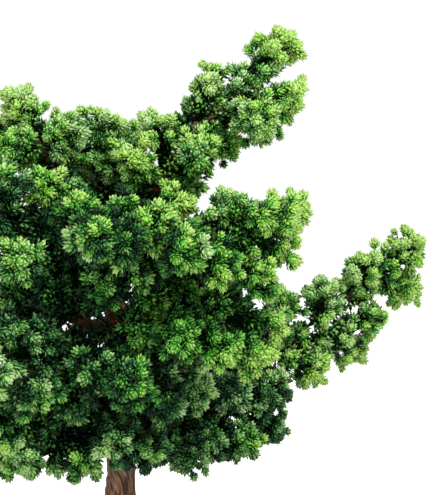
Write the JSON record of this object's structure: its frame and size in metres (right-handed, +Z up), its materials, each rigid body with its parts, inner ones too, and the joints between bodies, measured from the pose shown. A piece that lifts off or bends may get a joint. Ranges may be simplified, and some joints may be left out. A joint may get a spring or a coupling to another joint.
{
  "type": "hinoki cypress bonsai",
  "caption": "Congested dwarf hinoki cypress bonsai: stubby tufts of scale leaves on spreading boughs, in a plain rectangular clay pot with feet.",
  "frame": {"origin": "middle of the pot's footprint, at table height", "axes": "+X right, +Y back, +Z up, as the tree is seen from its front"},
  "size_m": [0.2465, 0.2017, 0.26],
  "materials": {
    "pot": "matte",
    "screen": "matte",
    "soil": "matte",
    "bark": "matte",
    "foliage": "satin"
  },
  "bodies": {
    "root": {"pot": "pot", "drainage_screen_1": "screen", "drainage_screen_2": "screen", "soil": "soil", "trunk": "bark", "spray_back_left_1": "foliage", "spray_back_left_2": "foliage", "spray_back_right_1": "foliage", "spray_back_right_2": "foliage", "spray_back_upper_1": "foliage", "spray_back_upper_2": "foliage", "spray_front_1": "foliage", "spray_front_2": "foliage", "spray_front_3": "foliage", "spray_leader_1": "foliage", "spray_leader_2": "foliage", "spray_leader_3": "foliage", "spray_left_1": "foliage", "spray_left_2": "foliage", "spray_left_3": "foliage", "spray_left_4": "foliage", "spray_left_5": "foliage", "spray_left_front_1": "foliage", "spray_left_front_2": "foliage", "spray_left_front_3": "foliage", "spray_long_right_1": "foliage", "spray_long_right_2": "foliage", "spray_long_right_3": "foliage", "spray_long_right_4": "foliage", "spray_low_back_1": "foliage", "spray_low_back_2": "foliage", "spray_low_front_1": "foliage", "spray_low_front_2": "foliage", "spray_low_front_3": "foliage", "spray_low_left_1": "foliage", "spray_low_left_2": "foliage", "spray_low_left_3": "foliage", "spray_low_left_front_1": "foliage", "spray_low_left_front_2": "foliage", "spray_low_right_1": "foliage", "spray_low_right_2": "foliage", "spray_low_right_3": "foliage", "spray_low_right_4": "foliage", "spray_mid_left_1": "foliage", "spray_right_1": "foliage", "spray_right_2": "foliage", "spray_right_3": "foliage", "spray_right_4": "foliage", "spray_right_lower_1": "foliage", "spray_right_lower_2": "foliage", "spray_right_lower_3": "foliage", "spray_right_lower_4": "foliage", "spray_top_right_1": "foliage", "spray_top_right_2": "foliage", "spray_top_right_3": "foliage", "spray_top_right_4": "foliage", "spray_top_right_5": "foliage", "spray_upper_left_1": "foliage", "spray_upper_left_2": "foliage", "spray_upper_left_3": "foliage"}
  },
  "joints": []
}
